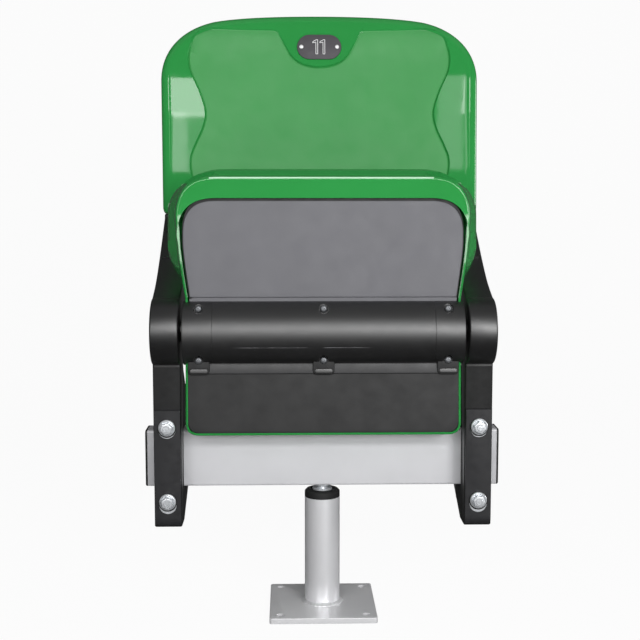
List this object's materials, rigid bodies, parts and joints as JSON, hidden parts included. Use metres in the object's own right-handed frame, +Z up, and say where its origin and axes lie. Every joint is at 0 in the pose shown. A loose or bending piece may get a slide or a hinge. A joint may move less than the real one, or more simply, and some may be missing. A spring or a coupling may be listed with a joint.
{
  "type": "stadium seat",
  "caption": "Tip-up stadium seat with a moulded backrest, carried by side brackets on a cross beam that swivels on a floor pedestal.",
  "frame": {"origin": "middle of the base plate's underside, on the swivel axis", "axes": "+X to the right of a person facing the seat, +Y to the back of the seat, +Z up"},
  "size_m": [0.498, 0.2971, 0.8611],
  "materials": {
    "green_plastic": "glossy moulded wings and edges, fine matt grain on the sitting and back panels",
    "grey_cover": "satin grained",
    "dark_cover": "satin grained",
    "black_nylon": "semi-gloss moulded nylon",
    "black_rubber": "matt",
    "dark_strap": "satin powder coat",
    "silver_paint": "fine silver powder coat",
    "plate_steel": "silver powder coat over plate",
    "zinc_steel": "bright zinc plate",
    "spring_steel": "dark oiled",
    "tag_metal": "dark satin"
  },
  "bodies": {
    "pedestal": {"base_plate": "plate_steel", "column": "silver_paint", "swivel_collar": "black_nylon", "thrust_washer": "zinc_steel", "lower_bush": "black_nylon"},
    "swivel_head": {"spindle": "zinc_steel", "spindle_circlip": "spring_steel", "spindle_nut": "zinc_steel", "beam": "silver_paint", "hinge_shaft": "zinc_steel", "beam_end_cap_left": "black_rubber", "side_bracket_left": "black_nylon", "clamp_block_left": "black_nylon", "clamp_strap_left": "dark_strap", "shaft_bolt_left": "zinc_steel", "hub_cap_left": "black_nylon", "spring_collar_left": "spring_steel", "clamp_bolt_left_lower": "zinc_steel", "clamp_nut_left_lower": "zinc_steel", "clamp_bolt_left_upper": "zinc_steel", "clamp_nut_left_upper": "zinc_steel", "beam_end_cap_right": "black_rubber", "side_bracket_right": "black_nylon", "clamp_block_right": "black_nylon", "clamp_strap_right": "dark_strap", "shaft_bolt_right": "zinc_steel", "hub_cap_right": "black_nylon", "spring_collar_right": "spring_steel", "clamp_bolt_right_lower": "zinc_steel", "clamp_nut_right_lower": "zinc_steel", "clamp_bolt_right_upper": "zinc_steel", "clamp_nut_right_upper": "zinc_steel", "backrest_shell": "green_plastic", "number_plate": "tag_metal", "plate_rivet_left": "zinc_steel", "backrest_screw_left_lower": "zinc_steel", "backrest_screw_left_upper": "zinc_steel", "plate_rivet_right": "zinc_steel", "backrest_screw_right_lower": "zinc_steel", "backrest_screw_right_upper": "zinc_steel"},
    "tip_up_seat": {"seat_shell": "green_plastic", "underside_cover_front": "grey_cover", "underside_cover_rear": "dark_cover", "hinge_housing": "black_nylon", "housing_screw_1": "spring_steel", "housing_screw_2": "spring_steel", "housing_screw_3": "spring_steel", "housing_screw_4": "spring_steel", "housing_screw_5": "spring_steel", "housing_screw_6": "spring_steel", "hinge_bush_left": "black_nylon", "torsion_spring_left": "spring_steel", "hinge_bush_right": "black_nylon", "torsion_spring_right": "spring_steel"}
  },
  "joints": [
    {"name": "swivel", "type": "hinge", "parent": "pedestal", "child": "swivel_head", "pos_m": [0, 0, 0.172], "axis": [0, 0, 1], "continuous": true},
    {"name": "seat_tip", "type": "hinge", "parent": "swivel_head", "child": "tip_up_seat", "pos_m": [0, -0.048, 0.4045], "axis": [1, 0, 0], "range_deg": [0, 88], "stiffness_Nm_per_rad": 1.1, "springref_deg": -22.92}
  ]
}
